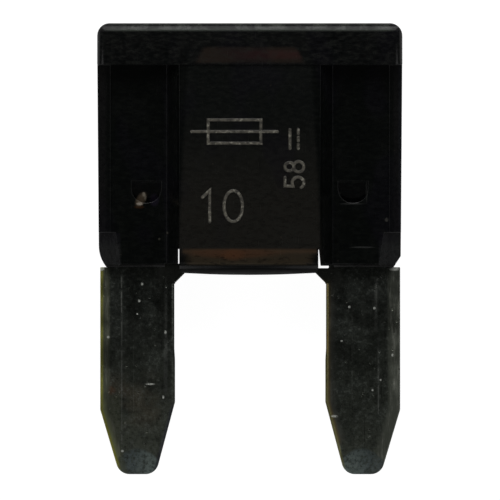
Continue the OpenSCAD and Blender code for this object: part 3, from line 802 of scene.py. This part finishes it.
# Painted highlights with a yellow fringe along the outer edge and taper of the left blade.
colour = paint(tree, colour, (88, 90, 60), yellow_fringe)
colour = paint(tree, colour, (138, 144, 112), tapered)
colour = paint(tree, colour, (156, 156, 76), rim)
# Painted highlights along the inner edge of the right blade, brownish, yellow and orange in places.
colour = paint(tree, colour, (104, 104, 97), times(tree, inner_fade, 0.85))
colour = paint(tree, colour, (114, 104, 76), inner_brown)
colour = paint(tree, colour, (138, 136, 90), times(tree, inner_rim, 0.75))
colour = paint(tree, colour, (146, 118, 66), orange)
# Painted shade on the inner rim of the left blade near its tip.
colour = paint(tree, colour, (60, 62, 67), dull_rim)
print("edges painted:", len(tree.nodes), "nodes so far")

# %% [markdown]
# A socket leaves its signature: two or three fine score lines along each blade, bright where the tin is
# scraped, and single nicks. They are placed one by one, because chance noise never looks like use.

# %% Plated strip: score lines and nicks
# Place across, lower end, upper end, share.
SCORES = (
    (-4.64, -2.3, -1.0, 0.8),
    (-4.63, -7.2, -2.6, 0.4),
    (-3.03, -3.6, -1.0, 0.5),
    (4.57, -2.4, -1.1, 0.5),
    (4.65, -6.6, -4.0, 0.5),
    (-4.2, -5.9, -3.3, 0.2),
    (3.7, -5.4, -2.0, 0.2),
)
SCORE_HALF_WIDTH = 0.004
# x, y, half width, half height. The first two are painted highlights on the outer corners of the shoulders.
NICKS_AND_HIGHLIGHTS = (
    (-5.37, -0.73, 0.145, 0.080), (5.23, -0.73, 0.217, 0.087),
    (-3.89, -1.27, 0.065, 0.072), (-4.00, -1.88, 0.065, 0.072),
    (-3.05, -3.01, 0.058, 0.094), (-3.60, -4.89, 0.217, 0.043),
    (-3.13, -5.36, 0.051, 0.080), (-5.12, -3.19, 0.065, 0.065),
    (-4.07, -2.35, 0.043, 0.043), (-4.61, -7.31, 0.072, 0.058),
    (3.60, -2.10, 0.065, 0.065), (4.51, -2.14, 0.065, 0.065),
    (3.06, -6.05, 0.159, 0.058), (4.44, -5.11, 0.051, 0.051),
    (4.73, -4.74, 0.051, 0.051), (3.32, -3.33, 0.058, 0.043),
    (5.16, -3.84, 0.051, 0.072),
)
broken = rise(tree, noise(tree, place, scale=2.2, detail=3.0, stretch=(1, 2, 1)), 0.4, 0.5)
wear_and_highlights = 0.0
for x, low, high, share in SCORES:
    line = patch(tree, place, (x - SCORE_HALF_WIDTH, x + SCORE_HALF_WIDTH), (low, high), soft=0.022)
    wear_and_highlights = maths(tree, "MAXIMUM", wear_and_highlights, times(tree, line, broken, share))
for nick in NICKS_AND_HIGHLIGHTS:
    wear_and_highlights = maths(tree, "MAXIMUM", wear_and_highlights, blob(tree, place, *nick))
pits = times(tree, specks(tree, place, scale=3.2, size=0.16), rise(tree, grain, 0.45, 0.55))
# Bright scores and nicks, and painted highlights on the shoulder corners.
colour = paint(tree, colour, (215, 218, 210), times(tree, wear_and_highlights, 0.8))
colour = paint(tree, colour, (30, 28, 26), pits)
print("score lines:", len(SCORES), "nicks:", len(NICKS_AND_HIGHLIGHTS))

# %% Plated strip: gloss and surface
gloss = level(tree, 0.26, 0.4, towards_tip)
gloss = level(tree, gloss, 0.46, rise(tree, clouds, 0.4, 0.7))
gloss = level(tree, gloss, 0.22, rise(tree, streaks, 0.6, 0.75))
gloss = level(tree, gloss, 0.5, wear_and_highlights)

skin = bumps(tree, streaks, depth=0.006)
skin = bumps(tree, clouds, depth=0.012, under=skin)
skin = bumps(tree, grain, depth=0.0012, under=skin)
skin = bumps(tree, mottle, depth=0.006, under=skin, strength=0.7)
skin = bumps(tree, maths(tree, "SUBTRACT", 1.0, pits), depth=0.01, under=skin)
plug_finish(tree, shader, colour, gloss, skin)
shader.inputs["Metallic"].default_value = 1.0
print("plated strip:", len(tree.nodes), "nodes")

# %% Put the finishes on
def dress(solid, finish):
    """One finish on every material slot of a solid."""
    if not solid.data.materials:
        solid.data.materials.append(finish)
    for index in range(len(solid.data.materials)):
        solid.data.materials[index] = finish


dress(housing, smoke)
dress(fuse_strip, plating)
print("dressed", housing.name, "and", fuse_strip.name)

# %% [markdown]
# ## The moulded marks
#
# On the panel such fuses have raised marks. They are cut into the mould with a ball cutter, so
# each mark is a thin ridge with sloping sides and round ends. Text objects would give letters
# of a typeface, while a ridge along a line is how the cutter works, so that is what is built:
# the circuit symbol of a fuse, plain numbers and the sign for direct current.

# %% Sizes of a ridge
RIDGE_WIDTH = 0.15
RIDGE_HEIGHT = 0.03
RIDGE_SLOPE = 0.04
RIDGE_ROOT = -0.01
END_STEPS = 6
SHARPEST_MITRE = 0.4
PANEL_STEP = 0.05
PANEL_LENGTH = 6.62


def face_at(y):
    """Height of the panel at this place: it comes down a little towards the head."""
    return THICKNESS - PANEL_STEP * y / PANEL_LENGTH


print("ridge", RIDGE_WIDTH, "mm wide and", RIDGE_HEIGHT, "mm high")

# %% Outline of a ridge
def offset_line(points, distance, closed):
    """The points moved to the left of their line by a distance, with mitred corners."""
    moved = []
    count = len(points)
    for index, point in enumerate(points):
        before = points[index - 1] if index or closed else None
        after = points[(index + 1) % count] if index < count - 1 or closed else None
        lines = [(b - a).normalized() for a, b in ((before, point), (point, after)) if a and b]
        normals = [Vector((-line.y, line.x)) for line in lines]
        middle = sum(normals, Vector((0, 0))).normalized()
        moved.append(point + middle * distance / max(middle.dot(normals[0]), SHARPEST_MITRE))
    return moved


def round_end(point, towards, radius):
    """Half a circle round the end of a ridge, from its left side to its right."""
    start = math.atan2(towards.y, towards.x) + math.pi / 2
    angles = [start - math.pi * i / END_STEPS for i in range(1, END_STEPS)]
    return [point + Vector((math.cos(a), math.sin(a))) * radius for a in angles]


def ridge_outline(points, radius):
    """The closed outline of an open ridge with round ends."""
    there = offset_line(points, radius, False)
    back = offset_line(points, -radius, False)[::-1]
    end = round_end(points[-1], points[-1] - points[-2], radius)
    start = round_end(points[0], points[0] - points[1], radius)
    return there + end + back + start


print("a round end has", END_STEPS, "steps")

# %% Body of a ridge
def ring(mesh, outline, lift):
    """Points along an outline, at a height over the panel."""
    return [mesh.verts.new((p.x * MM, p.y * MM, (face_at(p.y) + lift) * MM)) for p in outline]


def join(mesh, first, second):
    """A band of faces between two rings."""
    count = len(first)
    for i in range(count):
        j = (i + 1) % count
        mesh.faces.new((first[i], first[j], second[j], second[i]))


def add_ridge(mesh, points, closed=False, height=RIDGE_HEIGHT):
    """One closed body along the points: foot, sloping sides and flat top."""
    points = [Vector(p) for p in points]
    half = RIDGE_WIDTH / 2
    if closed:
        section = ((-half, RIDGE_ROOT), (-half + RIDGE_SLOPE, height), (half - RIDGE_SLOPE, height),
                   (half, RIDGE_ROOT))
        rings = [ring(mesh, offset_line(points, across, True), z) for across, z in section]
        for i in range(len(rings)):
            join(mesh, rings[i], rings[(i + 1) % len(rings)])
        return
    low = ring(mesh, ridge_outline(points, half), RIDGE_ROOT)
    high = ring(mesh, ridge_outline(points, half - RIDGE_SLOPE), height)
    join(mesh, low, high)
    mesh.faces.new(low)
    mesh.faces.new(high)


print("a closed ridge is a ring with four sides")

# %% [markdown]
# Digits are drawn on a small grid, one unit high, and then placed by a corner, a height and a
# turn. Curves are arcs cut into short steps. Where a digit has two strokes, the second is a
# trace lower, so that two flat tops never lie in one plane.

# %% Digits
DIGIT_STEP = 0.82
STROKE_DROP = 0.002


def arc(x, y, rx, ry, start, end, steps):
    """Points on an oval from one angle to another, in degrees."""
    angles = [math.radians(start + (end - start) * i / steps) for i in range(steps + 1)]
    return [(x + rx * math.cos(a), y + ry * math.sin(a)) for a in angles]


DIGITS = {
    "0": [(arc(0.3, 0.5, 0.3, 0.5, 0, 345, 23), True)],
    "1": [([(0.12, 0.78), (0.36, 1.0), (0.36, 0.0)], False)],
    "5": [([(0.56, 1.0), (0.1, 1.0), (0.08, 0.58)] + arc(0.27, 0.31, 0.3, 0.31, 96, -146, 16), False)],
    "8": [(arc(0.3, 0.76, 0.22, 0.24, 0, 340, 17), True), (arc(0.3, 0.27, 0.28, 0.27, 0, 340, 17), True)],
}


def write_digits(mesh, digits, x, y, height, turn=0.0):
    """A row of digits. The corner is the foot of the first one."""
    c, s = math.cos(math.radians(turn)), math.sin(math.radians(turn))
    for index, digit in enumerate(digits):
        for layer, (points, closed) in enumerate(DIGITS[digit]):
            placed = []
            for px, py in points:
                u, v = (px + DIGIT_STEP * index) * height, py * height
                placed.append((x + u * c - v * s, y + u * s + v * c))
            add_ridge(mesh, placed, closed, RIDGE_HEIGHT - STROKE_DROP * layer)


print("digits:", " ".join(sorted(DIGITS)))

# %% [markdown]
# The symbol of a fuse is a box with a wire through it. The sign for direct current is a line
# beside a broken line, and here it runs up the panel above the small number.

# %% Marks on the panel
SYMBOL = (-0.55, 4.23)
SYMBOL_HALF_LENGTH = 0.95
SYMBOL_HALF_HEIGHT = 0.42
WIRE_HALF_LENGTH = 1.55
WIRE_HEIGHT = 0.027
CURRENT_LINE_X = 1.45
CURRENT_DASH_X = 1.75
CURRENT_Y = (3.62, 4.3)
DASH_LENGTH = 0.14
DASH_STEP = 0.27
DASHES = 3
marks = bmesh.new()
sx, sy = SYMBOL
corner_signs = ((-1, -1), (1, -1), (1, 1), (-1, 1))
add_ridge(marks, [(sx + a * SYMBOL_HALF_LENGTH, sy + b * SYMBOL_HALF_HEIGHT) for a, b in corner_signs],
          closed=True)
add_ridge(marks, [(sx - WIRE_HALF_LENGTH, sy), (sx + WIRE_HALF_LENGTH, sy)], height=WIRE_HEIGHT)
write_digits(marks, "10", x=-1.85, y=0.98, height=1.12)
write_digits(marks, "58", x=1.95, y=2.2, height=0.68, turn=90)
add_ridge(marks, [(CURRENT_LINE_X, y) for y in CURRENT_Y])
for index in range(DASHES):
    dash_foot = CURRENT_Y[0] + DASH_STEP * index
    add_ridge(marks, [(CURRENT_DASH_X, dash_foot), (CURRENT_DASH_X, dash_foot + DASH_LENGTH)])
bmesh.ops.recalc_face_normals(marks, faces=marks.faces)
marks_mesh = bpy.data.meshes.new("moulded_marks")
marks.to_mesh(marks_mesh)
marks.free()
moulded_marks = bpy.data.objects.new("moulded_marks", marks_mesh)
scene.collection.objects.link(moulded_marks)
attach(moulded_marks, "root")
print("marks:", len(marks_mesh.polygons), "faces")

# %% [markdown]
# The tops of the ridges carry a painted highlight and read as thin grey-beige lines, broken by darker patches
# and brighter spots, while their sides stay dark. They get their own finish: the same plastic, with the
# painted highlight on top.

# %% Plastic with painted highlights on the ridges
TOP_FADE = (0.003, 0.027)
highlit, tree, shader, place = start_finish("highlit_plastic")
wear = noise(tree, place, scale=5.0, detail=3.0)
spots = noise(tree, place, scale=7.0, detail=2.0, rough=0.6)
levelled = maths(tree, "ADD", place["z"], times(tree, place["y"], PANEL_STEP / PANEL_LENGTH))
top = rise(tree, levelled, THICKNESS + TOP_FADE[0], THICKNESS + TOP_FADE[1])
# Painted highlight on the ridge tops, with darker patches and brighter spots.
colour = paint(tree, tone(20, 19, 16), (74, 71, 62), top)
colour = paint(tree, colour, (40, 37, 31), times(tree, top, rise(tree, wear, 0.46, 0.62)))
colour = paint(tree, colour, (122, 119, 108), times(tree, top, rise(tree, spots, 0.52, 0.68)))
plug_finish(tree, shader, colour, level(tree, 0.45, 0.6, wear), bumps(tree, wear, depth=0.004))
marks_mesh.materials.append(highlit)
print("scuffed plastic:", len(tree.nodes), "nodes")
